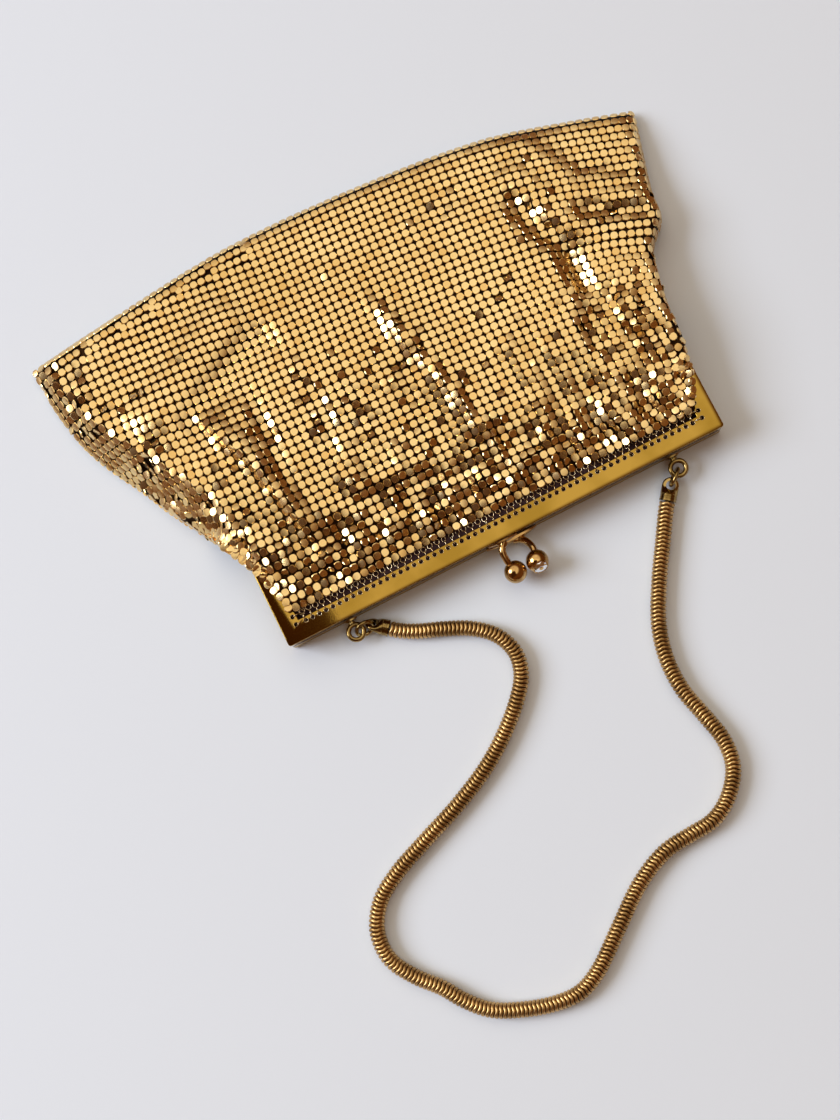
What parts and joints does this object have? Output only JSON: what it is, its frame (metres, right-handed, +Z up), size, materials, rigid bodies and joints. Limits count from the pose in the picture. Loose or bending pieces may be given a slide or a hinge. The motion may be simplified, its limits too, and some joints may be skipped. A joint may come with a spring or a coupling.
{
  "type": "metal mesh purse",
  "caption": "Gilt metal mesh purse with a hinged brass kiss-lock frame, a cloth lining and a snake chain handle, lying flat on its back.",
  "frame": {"origin": "on the table, under the middle of the whole object as it lies", "axes": "+X along the frame from its left leg to its right as seen in the picture, +Y from the frame towards the bag's bottom edge, +Z up from the table"},
  "size_m": [0.2134, 0.2654, 0.0187],
  "materials": {
    "jaw_brass": "polished",
    "clasp_brass": "polished, aged",
    "chain_brass": "satin, aged",
    "gilt_mesh": "gilt, polished",
    "maroon_lining": "matt",
    "crystal": "clear"
  },
  "bodies": {
    "root": {"front_jaw": "jaw_brass", "back_jaw": "jaw_brass", "hinge_pin_left": "jaw_brass", "hinge_pin_right": "jaw_brass", "mesh_front_panel": "gilt_mesh", "mesh_back_panel": "gilt_mesh", "lining": "maroon_lining", "clasp_front": "clasp_brass", "clasp_back": "clasp_brass", "clasp_stone": "crystal", "snake_chain": "chain_brass", "eyelet_left": "clasp_brass", "jump_link_left": "clasp_brass", "chain_cap_left": "chain_brass", "eyelet_right": "clasp_brass", "jump_link_right": "clasp_brass", "chain_cap_right": "chain_brass"}
  },
  "joints": []
}
